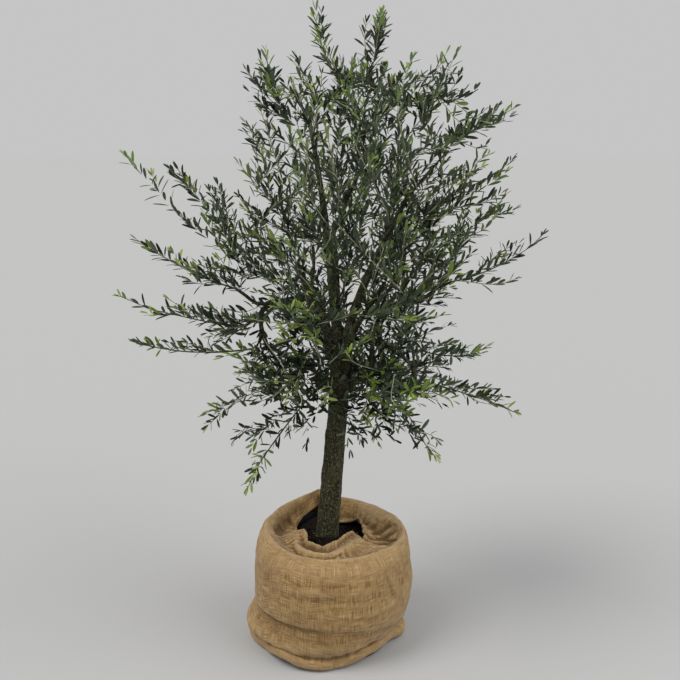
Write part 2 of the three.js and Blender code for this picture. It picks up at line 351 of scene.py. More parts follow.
def plain_material(name, color, roughness, **constants):
    """One even finish, for leaves and shoots that are coloured by spray."""
    shader = Shader(name, roughness, **constants)
    shader.bsdf.inputs["Base Color"].default_value = (*color, 1)
    return shader.material


def bark_material(name, tone=1.0, green=0.5):
    """Olive bark: grey-green skin closely specked with pale lichen and dark pits."""
    shader = Shader(name, 0.9, Specular_IOR_Level=0.2)
    where = shader.place()
    drawn = shader.place(scale=(1, 1, 0.45))
    tones = ((24, 23, 15), (52, 50, 35), (84, 81, 58), (126, 121, 92), (56, 64, 40))
    dark, mid, pale, lichen, moss = (tuple(tone * c for c in srgb(*rgb)) for rgb in tones)
    base = shader.ramp(shader.noise(drawn, 60, 6, 0.7), (0.32, dark), (0.5, mid), (0.7, pale))
    patch = shader.ramp(shader.noise(where, 15, 4, 0.6), (0.48, (0,)), (0.62, (green,)))
    base = shader.mix(patch, base, moss)
    specks = shader.ramp(shader.noise(drawn, 330, 2, 0.5), (0.55, (0,)), (0.66, (0.85,)))
    base = shader.mix(specks, base, lichen)
    pits = shader.ramp(shader.noise(drawn, 290, 3, 0.6), (0.34, (1,)), (0.43, (0,)))
    shader.color(shader.mix(pits, base, tuple(0.3 * c for c in dark)))
    rough = shader.add(shader.noise(drawn, 160, 6, 0.7), shader.times(pits, -0.4))
    shader.bump(rough, 0.0035, 0.8)
    return shader.material


def burlap_material():
    """Jute sacking: an over-and-under weave of slubby threads, laid out on the cloth's own sizes, with
    painted shade in its sunken folds and a painted highlight on their ridges.
    """
    shader = Shader("burlap", 0.95, Specular_IOR_Level=0.15, Sheen_Weight=0.13, Sheen_Roughness=0.5)
    cloth = shader.place("UV")
    parts = shader.node("ShaderNodeSeparateXYZ", {"Vector": cloth})
    warp, weft = (shader.math("SINE", shader.times(parts.outputs[k], math.pi / WEAVE)) for k in (0, 1))
    over = shader.times(warp, weft)
    threads = shader.math("MAXIMUM", shader.math("ABSOLUTE", warp), shader.math("ABSOLUTE", weft))
    drawn = ((420, 22, 1), (22, 420, 1))  # a slub is long along its own thread
    slubs = shader.add(*(shader.noise(shader.place("UV", scale), 1.0, 3) for scale in drawn))
    tone = shader.add(shader.times(slubs, 0.5), shader.times(over, 0.1))
    jute = ((0.36, (86, 61, 32)), (0.47, (140, 109, 67)), (0.55, (166, 134, 87)), (0.66, (208, 180, 130)))
    base = shader.ramp(tone, *((place, srgb(*rgb)) for place, rgb in jute))
    cloud = shader.ramp(shader.noise(cloth, 9, 4), (0.42, (0.0,)), (0.68, (0.3,)))
    base = shader.mix(cloud, base, srgb(118, 88, 50))
    gaps = shader.ramp(threads, (0.25, (1,)), (0.6, (0,)))
    base = shader.mix(shader.times(gaps, 0.65), base, srgb(58, 39, 20))
    # painted shade darkens the folds where they are sunken, and a painted highlight pales their ridges
    hollow = shader.node("ShaderNodeAttribute", attribute_name="hollow", attribute_type="GEOMETRY")
    for share, rgb in ((0.40, (66, 46, 26)), (-0.26, (206, 180, 138))):
        amount = shader.math("MAXIMUM", shader.times(hollow.outputs["Fac"], share), 0.0)
        base = shader.mix(amount, base, srgb(*rgb))
    shader.color(base)
    relief = shader.add(shader.times(threads, 0.7), shader.times(slubs, 0.8))
    shader.bump(shader.add(relief, shader.times(over, 0.3)), 0.0010, 0.7)
    return shader.material


def plastic_material():
    shader = Shader("black_plastic", 0.65, Specular_IOR_Level=0.18)
    where = shader.place()
    shader.color(shader.ramp(shader.noise(where, 35, 5), (0.4, srgb(8, 8, 9)), (0.75, srgb(20, 20, 20))))
    shader.bump(shader.noise(where, 260, 3), 0.0006, 0.4)
    return shader.material


def soil_material():
    shader = Shader("potting_soil", 0.95, Specular_IOR_Level=0.2)
    where = shader.place()
    grains = shader.noise(where, 120, 6, 0.7)
    shader.color(shader.ramp(grains, (0.35, srgb(8, 6, 5)), (0.6, srgb(30, 23, 17)), (0.8, srgb(60, 47, 34))))
    shader.bump(shader.noise(where, 210, 5, 0.7), 0.004, 1.0)
    return shader.material


# Leaf tints, from the darkest spray to the freshest shoot tip; the darkest is the old leaves' own colour and
# also painted shade, as it is dealt out more inside the crown; the undersides are silvery.
LEAF_TINTS = {
    "deep": (14, 21, 9),
    "mature": (28, 39, 16),
    "olive": (66, 80, 30),
    "grey": (54, 66, 46),
    "young": (102, 122, 46),
    "fresh": (136, 156, 72),
}
UNDER_TINTS = {"under_old": (86, 98, 78), "under_new": (120, 140, 96)}
TINTS = list(LEAF_TINTS)


# ---------------------------------------------------------------- limbs as tubes
def frames_along(points):
    """Tangents and two steady cross directions along a line of points."""
    tangent = unit(np.gradient(points, axis=0))
    side = np.empty_like(tangent)
    side[0] = unit(np.cross(tangent[0], [0.31, 0.83, 0.46]))
    for i in range(1, len(points)):
        s = side[i - 1] - tangent[i] * np.dot(side[i - 1], tangent[i])
        side[i] = s / max(np.linalg.norm(s), 1e-9)
    return tangent, side, np.cross(tangent, side)


def tube(points, radii, sides, relief=None):
    """A closed tube with pointed ends; relief adds to the radius, one value per vertex."""
    tangent, side, other = frames_along(points)
    angle = full_turn(sides)
    ring = np.cos(angle)[None, :, None] * side[:, None] + np.sin(angle)[None, :, None] * other[:, None]
    radius = radii[:, None] * np.ones(sides)
    if relief is not None:
        radius = radius + relief(points[:, None] + ring * radii[:, None, None], radius)
    first = points[0] - tangent[0] * radii[0] * 0.5
    last = points[-1] + tangent[-1] * radii[-1] * 1.2
    return closed_skin(points[:, None] + ring * radius[..., None], sides, first, last)


def join(parts):
    """Several (vertices, triangles) as one."""
    offset, vertices, triangles = 0, [], []
    for v, t in parts:
        vertices.append(v)
        triangles.append(t + offset)
        offset += len(v)
    return np.vstack(vertices), np.vstack(triangles)


# ---------------------------------------------------------------- the CAD limbs' centre lines
def trunk_line():
    """The trunk's centre and radius at each of the CAD trunk's rings, from the foot up."""
    vertices, _ = node_mesh("trunk")
    heights = np.unique(np.round(vertices[:, 2], 4))
    rings = [vertices[np.abs(vertices[:, 2] - h) < 2e-4] for h in heights]
    rings = [ring for ring in rings if len(ring) > 8]
    centres = np.array([(ring.max(0) + ring.min(0)) / 2 for ring in rings])
    radii = np.array([np.ptp(ring[:, :2], axis=0).mean() / 2 for ring in rings])
    return centres, radii


def bough_line(name, count=24):
    """A curve fitted through a CAD bough's skin, and its radius, from the fork outwards."""
    vertices, _ = node_mesh(name)
    axis = main_axis(vertices)
    axis = axis if axis[2] > 0 else -axis
    along = (vertices - vertices.mean(0)) @ axis
    fit = np.polyfit(along, vertices, 3 if np.ptp(along) > 0.3 else 2)
    stations = np.linspace(along.min(), along.max(), count)
    away = np.linalg.norm(vertices - on_fit(fit, along), axis=1)
    radius = np.polyval(np.polyfit(along, away, 1), stations)
    return on_fit(fit, stations), np.maximum(radius, 0.004)


# ---------------------------------------------------------------- the growing skeleton
class Skeleton:
    """Every limb's points, each joined to the point it grows from."""

    SIZE = 60000

    def __init__(self):
        self.at = np.zeros((self.SIZE, 3))
        self.along = np.zeros((self.SIZE, 3))
        self.parent = np.full(self.SIZE, -1)
        self.crowd = np.zeros(self.SIZE)
        self.level = np.zeros(self.SIZE, int)
        self.used = 0
        self.limbs = []

    def add_limb(self, points, joint, level, **facts):
        """A limb of points grown from the point numbered joint; its points are numbered in turn."""
        first = self.used
        last = first + len(points)
        self.at[first:last] = points
        self.along[first:last] = unit(np.gradient(points, axis=0))
        self.parent[first:last] = np.arange(first - 1, last - 1)
        self.parent[first] = joint
        self.level[first:last] = level
        self.used = last
        if joint >= 0:
            near = np.linalg.norm(self.at[:last] - self.at[joint], axis=1) < 0.03
            self.crowd[:last][near] += 1
        self.limbs.append({"first": first, "last": last, "joint": joint, "level": level, **facts})
        return self.limbs[-1]

    def best_joint(self, tip, reach, stiff, crowding, least_level=0):
        """Where a limb to this tip leaves the skeleton: near a wanted reach, and not bent back."""
        n = self.used
        to_tip = tip - self.at[:n]
        distance = np.linalg.norm(to_tip, axis=1)
        ahead = np.einsum("ij,ij->i", to_tip, self.along[:n]) / np.maximum(distance, 1e-6)
        short = np.maximum(reach - distance, 0) * 0.9
        far = np.maximum(distance - reach, 0) * 1.5
        cost = short + far + stiff * (1 - ahead) + crowding * self.crowd[:n]
        cost += 0.02 * (self.level[:n] == 0)
        cost[distance < 0.035] += 1
        cost[self.level[:n] < least_level] += 1
        return int(np.argmin(cost))

    def shoot_path(self, joint, tip, lean, step=0.013, spread=48):
        """A curve from a joint to a tip that leaves at a fork's angle and ends along lean."""
        start = self.at[joint]
        chord = tip - start
        length = np.linalg.norm(chord)
        toward = chord / length
        forward = self.along[joint]
        across = toward - forward * np.dot(toward, forward)
        size = np.linalg.norm(across)
        turn = min(math.acos(np.clip(np.dot(toward, forward), -1, 1)), math.radians(spread))
        leave = forward * math.cos(turn) + across / max(size, 1e-6) * math.sin(turn)
        count = max(5, int(length / step) + 1)
        t = np.linspace(0, 1, count)[:, None]
        pull = length * 0.36
        a, b, c, d = start, start + leave * pull, tip - lean * pull, tip
        return (1 - t) ** 3 * a + 3 * (1 - t) ** 2 * t * b + 3 * (1 - t) * t**2 * c + t**3 * d

    def radii(self, tip_radius):
        """The pipe rule: each point's radius from the number of tips that it carries."""
        n = self.used
        load = np.zeros(n)
        for limb in self.limbs:
            load[limb["last"] - 1] += limb.get("weight", 1.0)
        for i in range(n - 1, -1, -1):
            if self.parent[i] >= 0:
                load[self.parent[i]] += load[i]
        return tip_radius * np.maximum(load, 1) ** (1 / PIPE)


def inside_test(vertices, triangles):
    tree = BVHTree.FromPolygons(vertices.tolist(), triangles.tolist())

    def inside(point):
        hit, normal, _, _ = tree.find_nearest(Vector(point))
        return (Vector(point) - hit).dot(normal) < 0

    return inside


# ---------------------------------------------------------------- leaves
def leaf_template():
    """Where each vertex of a leaf lies: along it, across it, and which face it is the middle of."""
    rows = [(0.0, 0, 0)]
    for along, half in LEAF_STATIONS:
        rows += [(along, half, 0), (along, -half, 0), (along, 0, 1), (along, 0, -1)]
    rows.append((1.0, 0, 0))
    faces, under = [], []
    end = len(rows) - 1

    def add(face, below):
        faces.append(face[::-1] if below else face)
        under.append(below)

    for k in range(len(LEAF_STATIONS)):
        left, right, top, bottom = range(1 + 4 * k, 5 + 4 * k)
        for below, mid in ((False, top), (True, bottom)):
            if k == 0:
                add((0, mid, left), below)
                add((0, right, mid), below)
            if k == len(LEAF_STATIONS) - 1:
                add((mid, end, left), below)
                add((right, end, mid), below)
            else:
                far_left, far_right = left + 4, right + 4
                far_mid = mid + 4
                add((mid, far_mid, far_left), below)
                add((mid, far_left, left), below)
                add((right, far_right, far_mid), below)
                add((right, far_mid, mid), below)
    return np.array(rows, float), np.array(faces), np.array(under)


class Leaves:
    """Leaves gathered one at a time, then made into joined pieces from arrays."""

    def __init__(self):
        self.rows = []

    def add(self, base, direction, normal, length, tint, fresh):
        self.rows.append((*base, *direction, *normal, length, tint, fresh))

    def arrays(self, rows, rng):
        template, faces, under = leaf_template()
        base, along, normal = rows[:, 0:3], unit(rows[:, 3:6]), rows[:, 6:9]
        length, tint, fresh = rows[:, 9], rows[:, 10].astype(int), rows[:, 11]
        across = unit(np.cross(normal, along))
        face = np.cross(along, across)
        n = len(rows)
        width = LEAF["width"] * (length / LEAF["length"]) ** 0.8 * rng.uniform(0.85, 1.18, n) / 2
        droop = rng.normal(0.05, 0.07, n)
        fold = rng.uniform(0.15, 0.5, n)
        sweep = rng.normal(0, 0.05, n)
        u, v, side = template[None, :, 0], template[None, :, 1], template[None, :, 2]
        x = length[:, None] * u
        y = width[:, None] * v + (sweep * length)[:, None] * u**2
        z = -(droop * length)[:, None] * u**2 + (fold * width)[:, None] * np.abs(v)
        z = z + side * LEAF["thick"] * 0.5
        place = base[:, None] + x[..., None] * along[:, None]
        place = place + y[..., None] * across[:, None] + z[..., None] * face[:, None]
        size = len(template)
        triangles = (faces[None] + np.arange(n)[:, None, None] * size).reshape(-1, 3)
        top_slot = tint[:, None] + np.zeros(len(faces), int)
        low_slot = len(TINTS) + (fresh > 0.5).astype(int)[:, None]
        slots = np.where(under[None], low_slot, top_slot).ravel()
        return place.reshape(-1, 3), triangles, slots, size


def pick_tint(rng, height, outer):
    """A spray's tint: darker inside and low down, which paints shade into the crown's depths, greyer and
    fresher outside and high up.
    """
    high = np.clip((height - 0.9) / 0.9, 0, 1)
    young = 0.03 + 0.09 * high * outer
    # the deep tint's chance rising toward the inside of the crown is painted shade
    chances = [0.36 - 0.14 * outer, 0.32, 0.15 + 0.08 * high, 0.07 + 0.05 * outer, young, 0.0]
    return int(rng.choice(len(TINTS), p=np.array(chances) / np.sum(chances)))


def dress_shoot(leaves, points, rng, tint, limb):
    """Pairs of leaves along a shoot, small ones at its tip; a growing shoot ends in fresh leaves."""
    scale, gap = (1.08, LEAF["pair_gap"] * 1.12) if limb.get("plume") else (1.0, LEAF["pair_gap"])
    stations = run_along(points)
    total = stations[-1]
    tangents = unit(np.gradient(points, axis=0))
    phase = rng.uniform(0, math.pi)

    def add_leaf(base, direction, facing, length, shade, new):
        normal = unit(facing - direction * np.dot(facing, direction))
        leaves.add(base, direction, normal, length, shade, float(new))

    for k, s in enumerate(np.arange(total * limb["leafy"], total, gap)):
        s = min(s + rng.normal(0, 0.002), total)
        point = read_off(s, stations, points)
        t = unit(read_off(s, stations, tangents))
        flat = unit(np.cross(t, UP) + 1e-4)
        lift = np.cross(flat, t)
        steep = abs(t[2])
        # pairs stand crosswise on a steep shoot and lie to its sides on a level one
        turn = phase + k * math.pi / 2 if steep > 0.7 else (-1) ** k * 0.6 + rng.normal(0, 0.35)
        left = total - s
        grown = scale * (0.55 + 0.45 * min(1.0, left / 0.05)) * rng.uniform(0.74, 1.18)
        new = limb["growing"] and left < NEW_GROWTH
        shade = TINTS.index("fresh" if left < NEWEST else "young") if new else tint
        for side in (0, math.pi):
            if rng.random() < LEAF_FALL:
                continue
            around_stem = turn + side + rng.normal(0, 0.2)
            radial = flat * math.cos(around_stem) + lift * math.sin(around_stem)
            open_angle = math.radians(rng.normal(47 if left / total > 0.15 else 33, 13))
            direction = t * math.cos(open_angle) + radial * math.sin(open_angle)
            direction = direction + UP * (0.36 * (1 - steep) + 0.06)
            facing = t * 0.7 + UP * 0.75 + rng.normal(0, 0.28, 3)
            add_leaf(point + radial * 0.001, unit(direction), facing, LEAF["length"] * grown, shade, new)
    t = tangents[-1]
    flat = unit(np.cross(t, UP + 0.01))
    shade = TINTS.index("fresh") if limb["growing"] else tint
    for side in (-1, 1):
        direction = unit(t + flat * side * 0.28 + rng.normal(0, 0.06, 3))
        facing = UP + rng.normal(0, 0.4, 3)
        length = LEAF["length"] * 0.62 * scale * rng.uniform(0.8, 1.15)
        add_leaf(points[-1], direction, facing, length, shade, limb["growing"])


def make_leaves(crown):
    """The leaves of every shoot, in joined pieces sorted from the foot of the crown up."""
    rng = rng_for("leaves")
    leaves = Leaves()
    for limb in crown.shoots:
        points = crown.wood.at[limb["first"] : limb["last"]]
        outer = float(np.clip((crown.depth(points[-1]) - 0.1) / 0.25, 0, 1))
        dress_shoot(leaves, points, rng, pick_tint(rng, points[-1][2], outer), limb)
    materials = [
        plain_material(f"leaf_{name}", srgb(*rgb), roughness, Specular_IOR_Level=0.25)
        for tints, roughness in ((LEAF_TINTS, 0.48), (UNDER_TINTS, 0.7))
        for name, rgb in tints.items()
    ]
    rows = np.array(leaves.rows)
    rows = rows[np.argsort(rows[:, 2])]
    leaf_faces = len(leaf_template()[1])
    for number, part in enumerate(np.array_split(rows, -(-len(rows) * leaf_faces // PIECE_LIMIT))):
        vertices, triangles, slots, size = leaves.arrays(part, rng)

        def outline(ends, size=size):
            """Edges between vertices of a leaf's outline, away from its middle line."""
            role = ends % size
            middle = (role % 4 == 3) | ((role % 4 == 0) & (role > 0))
            return (~middle).all(axis=1)

        piece = mesh_piece(f"olive_leaves_{number + 1}", vertices, triangles, materials, slots, sharp=outline)
    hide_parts(*nodes_named("foliage_"))


# ---------------------------------------------------------------- growing the tree
class Crown:
    """The wood and the leafy shoots, grown on from the CAD's limbs through its masses of foliage."""

    def __init__(self):
        masses = {name: node_mesh(name) for name in nodes_named("foliage_")}
        self.clumps = {name: mesh for name, mesh in masses.items() if name[-1].isdigit()}
        self.plumes = {name: mesh for name, mesh in masses.items() if name not in self.clumps}
        middles = np.array([[mesh[0][:, 2].mean(), mesh[0][:, 0].mean()] for mesh in self.clumps.values()])
        self.slope, self.offset = np.polyfit(middles[:, 0], middles[:, 1], 1)
        self.wood = Skeleton()
        self.shoots = []

    def axis_x(self, height):
        return self.slope * height + self.offset

    def depth(self, point):
        """How far a point is from the crown's axis."""
        return math.hypot(point[0] - self.axis_x(point[2]), point[1])

    def lean(self, tip):
        """Which way a shoot's tip points: up at the top of the crown, outwards and down at its foot."""
        out = np.array([tip[0] - self.axis_x(tip[2]), tip[1], 0.0])
        reach = np.linalg.norm(out)
        out = out / max(reach, 1e-6) * min(1.0, reach / 0.15)
        heights = [0.6, 0.8, 0.95, 1.15, 1.4, 1.7, 1.95]
        return unit(out + UP * np.interp(tip[2], heights, [-0.6, -0.3, 0.0, 0.35, 0.75, 1.3, 2.2]))

    def shoot(self, joint, path, level, leafy, growing, **facts):
        """A leafy shoot; leafy is how much of its foot is bare."""
        self.shoots.append(self.wood.add_limb(path, joint, level, leafy=leafy, growing=growing, **facts))
        return self.shoots[-1]

    def grow_limbs(self):
        """The CAD's stem and boughs, then one limb into each clump, the nearest clumps first."""
        wood = self.wood
        centres, _ = trunk_line()
        stem = read_off(np.arange(STEM_START, centres[-1, 2] + 0.001, 0.015), centres[:, 2], centres)
        wood.add_limb(stem, -1, 0, cad="trunk")
        for name in sorted(nodes_named("bough_")):
            line, radius = bough_line(name)
            joint = int(np.argmin(np.linalg.norm(stem - line[0], axis=1)))
            wood.add_limb(line, joint, 1, cad=name, cad_radius=radius)
        self.fork = stem[-1]
        cores = []
        for vertices, _ in self.clumps.values():
            middle = (vertices.max(0) + vertices.min(0)) / 2
            out = unit(middle - np.array([self.axis_x(middle[2]), 0, middle[2] - 0.12]))
            cores.append(middle + out * 0.045)
        for tip in sorted(cores, key=lambda core: np.linalg.norm(core - self.fork)):
            joint = wood.best_joint(tip, 0.16, stiff=0.2, crowding=0.02)
            wood.add_limb(wood.shoot_path(joint, tip, self.lean(tip), 0.015, 40), joint, 2)

    def grow_plume(self, name, vertices, rng):
        """A long shoot along its own mass, and its side shoots."""
        wood = self.wood
        along = (vertices - vertices.mean(0)) @ main_axis(vertices)
        away = np.linalg.norm(vertices[:, :2] - [self.axis_x(1.2), 0], axis=1)
        away = away + 0.6 * np.abs(vertices[:, 2] - 1.15)
        if np.polyfit(along, away, 1)[0] < 0:
            along = -along
        trim = 0.030 if name.split("_")[1] in ("front", "back") else 0.008
        line = on_fit(np.polyfit(along, vertices, 2), np.linspace(along.min(), along.max() - trim, 18))
        sway = np.stack([lattice_noise(line * 9 + shift, 5) for shift in (3.1, 7.7, 12.4)], -1)
        line = line + 0.011 * sway * np.linspace(0, 1, len(line))[:, None]
        joint = wood.best_joint(line[0], 0.12, stiff=0.22, crowding=0.02)
        lead = wood.shoot_path(joint, line[0], unit(line[1] - line[0]), 0.014, 45)
        path = np.vstack([lead[:-1], line])
        foot = self.shoot(joint, path, 3, 0.25, rng.random() < 0.8, plume=True)["first"]
        # side shoots are long and many on the inner part and few and short beyond, more on the left
        inner = int(rng.integers(7, 10)) if line[0][0] < self.axis_x(line[0][2]) else int(rng.integers(4, 7))
        inner = 3 if "droop" in name or "low" in name else inner
        for k in range(inner + int(rng.integers(2, 5))):
            share = rng.uniform(0.12, 0.52) if k < inner else rng.uniform(0.52, 0.85)
            at = int(len(path) * share)
            direction = wood.along[foot + at]
            side = unit(np.cross(direction, UP)) * rng.choice([-1, 1]) + UP * rng.uniform(-0.3, 1.1)
            reach = rng.uniform(0.10, 0.20) if k < inner else rng.uniform(0.05, 0.11)
            tip = path[at] + unit(direction + 0.75 * unit(side)) * reach
            tip = np.clip(tip, np.array(cad_box[0]) + SIDE_SHOOT_ROOM, np.array(cad_box[1]) - SIDE_SHOOT_ROOM)
            twig = wood.shoot_path(foot + at, tip, unit(direction + UP * 0.25), 0.013, 45)
            self.shoot(foot + at, twig, 4, 0.1, rng.random() < 0.4)

    def room(self, point, spacing, dense):
        """How far a tip stands from the next: wider where gaps open and near the crown's axis."""
        x, _, z = point
        room = spacing * (1 + 0.28 * max(0.0, lattice_noise(point / 0.13, 7))) * dense
        if self.depth(point) < 0.12:
            room *= 1.5
        # thinner left of the middle and under its foot there, and fuller to the right
        room *= 1 + 0.20 * math.exp(-(((x + 0.08) / 0.13) ** 2)) * smoothstep(z, 1.05, 1.2)
        room *= 1 - 0.10 * math.exp(-(((x - 0.17) / 0.10) ** 2)) * smoothstep(z, 1.3, 1.45)
        room *= 1 + 0.9 * math.exp(-(((x + 0.10) / 0.12) ** 2)) * (1 - smoothstep(z, 0.84, 0.92))
        return room

    def scatter(self, spacing, rng):
        """Tips spread through the clumps, no two close together, and some reaching past a clump."""
        kept, reached = np.zeros((0, 3)), []
        for name, (vertices, triangles) in sorted(self.clumps.items()):
            inside = inside_test(vertices, triangles)
            low, high = vertices.min(0), vertices.max(0)
            ring = name.split("_")[1]
            wide, deep = FLARE.get(ring, (0.0, 0.0))
            tries = int(12 * float(np.prod(high - low)) / spacing**3)
            for point in rng.uniform(low, high, (tries, 3)):
                room = self.room(point, spacing, CLOSENESS[ring])
                if len(kept) and np.min(np.sum((kept - point) ** 2, axis=1)) < room**2:
                    continue
                if not inside(point):
                    continue
                kept = np.vstack([kept, point])
                centre = self.axis_x(point[2])
                across = (point[0] - centre) * (1 + wide * rng.random())
                rise = 0.06 * rng.random() * smoothstep(point[2], 1.55, 1.7) * smoothstep(across, 0.05, 0.15)
                reached.append([centre + across, point[1] * (1 + deep * rng.random()), point[2] + rise])
        return np.array(reached)

    def fill_clumps(self, label, spacing, reach, level, leafy):
        """Branchlets or shoots to tips scattered through the clumps, the nearest tips first."""
        rng = rng_for(label)
        tips = self.scatter(spacing, rng)
        for tip in tips[np.argsort(np.linalg.norm((tips - self.fork) * [1, 1, 0.8], axis=1))]:
            goal = reach * rng.uniform(0.7, 1.4)
            joint = self.wood.best_joint(tip, goal, stiff=0.13, crowding=0.03, least_level=1)
            path = self.wood.shoot_path(joint, tip, unit(self.lean(tip) + rng.normal(0, 0.22, 3)))
            growing = rng.random() < 0.26 + 0.30 * smoothstep(tip[2], 1.0, 1.8)
            self.shoot(joint, path, level, leafy, bool(growing))

    def grow_hanging(self):
        """A few shoots that hang below the skirt, each with two side shoots."""
        rng = rng_for("hanging")
        wood = self.wood
        for tip in map(np.array, HANGING):
            joint = wood.best_joint(tip, 0.24, stiff=0.10, crowding=0.02, least_level=2)
            out = unit(tip * [1, 1, 0])
            path = wood.shoot_path(joint, tip, unit(out * 0.5 - UP), spread=75)
            foot = self.shoot(joint, path, 4, 0.25, rng.random() < 0.4)["first"]
            for share in (0.45, 0.7):
                at = int(len(path) * share)
                side = unit(np.cross(wood.along[foot + at], UP)) * rng.choice([-1, 1])
                end = path[at] + unit(out + side * 0.8 - UP * rng.uniform(0.3, 0.9)) * rng.uniform(0.05, 0.09)
                self.shoot(foot + at, wood.shoot_path(foot + at, end, unit(out - UP * 0.6)), 5, 0.15, False)

    def grow(self):
        self.grow_limbs()
        rng = rng_for("plumes")
        for name, (vertices, _) in sorted(self.plumes.items()):
            self.grow_plume(name, vertices, rng)
        for stage in PASSES:
            self.fill_clumps(*stage)
        self.grow_hanging()


# ---------------------------------------------------------------- wood
def wood_relief(amount, seed):
    """Bark that is ridged along the limb, as a change of radius at each vertex."""

    def relief(places, radius):
        ridges = fractal(places * [60, 60, 30], 3, seed) * 0.5
        lumps = lattice_noise(places * [22, 22, 12], seed + 9)
        return radius * amount * (ridges + lumps)

    return relief


def resample(points, size, step):
    """The same line with even, closer stations."""
    lengths = run_along(points)
    s = np.linspace(0, lengths[-1], max(4, int(lengths[-1] / step)))
    line = read_off(s, lengths, points)
    kernel = np.array([1, 2, 3, 2, 1]) / 9
    padded = np.pad(line, ((2, 2), (0, 0)), "edge")
    soft = np.stack([np.convolve(column, kernel, "valid") for column in padded.T], -1)
    soft[0], soft[-1] = line[0], line[-1]
    return soft, np.interp(s, lengths, size)


def jitter(count, seed):
    """Factors near 1 that change smoothly along a twig."""
    return 1 + 0.12 * lattice_noise(np.arange(count)[:, None] * [0.8, 0, 0], seed)


def make_wood(wood):
    """Tubes for all limbs but the trunk, by thickness: barked boughs, woody twigs, green shoots."""
    radii = wood.radii(TWIG_TIP)
    boughs, twigs, green = [], [], []
    for number, limb in enumerate(wood.limbs):
        if limb.get("cad") == "trunk":
            continue
        points = wood.at[limb["first"] : limb["last"]]
        size = radii[limb["first"] : limb["last"]]
        if "cad_radius" in limb:
            taper = np.linspace(1, 0.55, len(size))
            size = np.maximum(limb["cad_radius"] * taper, np.minimum(size, limb["cad_radius"]))
        else:
            points = np.vstack([wood.at[limb["joint"]], points])
            size = np.concatenate([[size[0]], size])
        size = np.minimum.accumulate(size)
        if size[0] > BARK_FROM:
            boughs.append(tube(*resample(points, size, 0.007), 18, wood_relief(0.10, number)))
        elif size[0] > TWIG_FROM:
            twigs.append(tube(points, size * jitter(len(size), number), 7))
        else:
            skip = 2 if len(points) > 8 else 1
            green.append(tube(points[::skip], size[::skip], 5))
    boughs = mesh_piece("bough_bark", *join(boughs), [bark_material("bough_bark", 1.05, 0.35)])
    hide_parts(*nodes_named("bough_"))
    for name, parts, material, rgb, roughness in (
        ("olive_twigs", twigs, "twig_bark", (104, 101, 80), 0.85),
        ("olive_shoots", green, "shoot_bark", (150, 153, 122), 0.8),
    ):
        piece = mesh_piece(name, *join(parts), [plain_material(material, srgb(*rgb), roughness)])


def make_trunk():
    """The trunk's bark: fluted wood and knots where branches were pruned, on the CAD trunk's own line and
    radii.
    """
    centres, radii = trunk_line()
    rows, columns = 420, 132
    low, high = centres[0, 2] - 0.012, centres[-1, 2] + 0.004
    height = np.linspace(low, high, rows)
    kernel = np.hanning(41)
    kernel /= kernel.sum()

    def even(values):
        return np.convolve(np.pad(values, 20, "edge"), kernel, "valid")

    radius = even(np.interp(height, centres[:, 2], radii))
    middle = np.stack([even(np.interp(height, centres[:, 2], centres[:, k])) for k in range(2)], -1)
    h, a = np.meshgrid(height, full_turn(columns), indexing="ij")
    flute = 0.0016 * np.sin(3 * a + h * 9) + 0.001 * np.sin(5 * a - h * 14 + 1)
    spots = np.stack([np.cos(a) * 0.04, np.sin(a) * 0.04, h], -1)
    bark = 0.0011 * fractal(spots * [90, 90, 40], 4, 3) + 0.0016 * lattice_noise(spots * [30, 30, 16], 5)
    cracks = -0.0012 * smoothstep(0.16 - np.abs(lattice_noise(spots * [110, 110, 26], 11)), 0, 0.16)
    knots = 0.0
    for azimuth, knot_height, size in KNOTS:
        d = np.hypot(np.radians(turn_from(a, azimuth)) * 0.035, (h - knot_height) * 0.8) / 0.011
        knots = knots + size * (np.exp(-(d**2)) - 0.75 * np.exp(-((d * 2.4) ** 2)))
    r = radius[:, None] + flute + bark + cracks + knots
    skin = np.stack([middle[:, 0][:, None] + np.cos(a) * r, middle[:, 1][:, None] + np.sin(a) * r, h], -1)
    trunk = closed_skin(skin, columns, [*middle[0], low], [*middle[-1], high + 0.006])
    piece = mesh_piece("trunk_bark", *trunk, [bark_material("olive_bark")])
    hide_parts("trunk")


# ---------------------------------------------------------------- the burlap wrap
# Sizes by azimuth round the pot (degrees: 0 right, 90 back, 180 left, 270 front), in metres.
HEM = {
    2: 0.228, 20: 0.226, 60: 0.226, 90: 0.228, 140: 0.234, 165: 0.256, 182: 0.272, 191: 0.270, 199: 0.256,
    209: 0.242, 218: 0.246, 228: 0.250, 242: 0.246, 250: 0.235, 260: 0.230, 270: 0.214, 286: 0.203,
    303: 0.194, 331: 0.192, 342: 0.200, 352: 0.224,
}
HEM_LIFT = {
    0: 0.0, 205: 0.0, 213: 0.003, 222: 0.016, 232: 0.021, 240: 0.014, 250: 0.003, 275: 0.001, 288: 0.006,
    303: 0.014, 331: 0.016, 343: 0.010, 352: 0.0,
}
# Each line's (radius, height) at its azimuths, from the low band up, over the rim and in to the free edge.
BAND = {
    0: (0.226, 0.062), 60: (0.238, 0.075), 90: (0.240, 0.080), 140: (0.256, 0.080), 165: (0.284, 0.077),
    182: (0.294, 0.074), 195: (0.290, 0.070), 208: (0.274, 0.068), 225: (0.264, 0.072), 245: (0.256, 0.076),
    262: (0.249, 0.080), 280: (0.238, 0.082), 300: (0.223, 0.086), 325: (0.220, 0.084), 342: (0.226, 0.074),
}
VALLEY = {
    0: (0.229, 0.080), 30: (0.240, 0.100), 60: (0.247, 0.120), 90: (0.250, 0.130), 140: (0.252, 0.140),
    180: (0.255, 0.142), 200: (0.245, 0.146), 215: (0.242, 0.151), 235: (0.243, 0.152), 250: (0.247, 0.148),
    270: (0.250, 0.146), 290: (0.246, 0.140), 310: (0.240, 0.125), 330: (0.236, 0.110), 345: (0.229, 0.090),
}
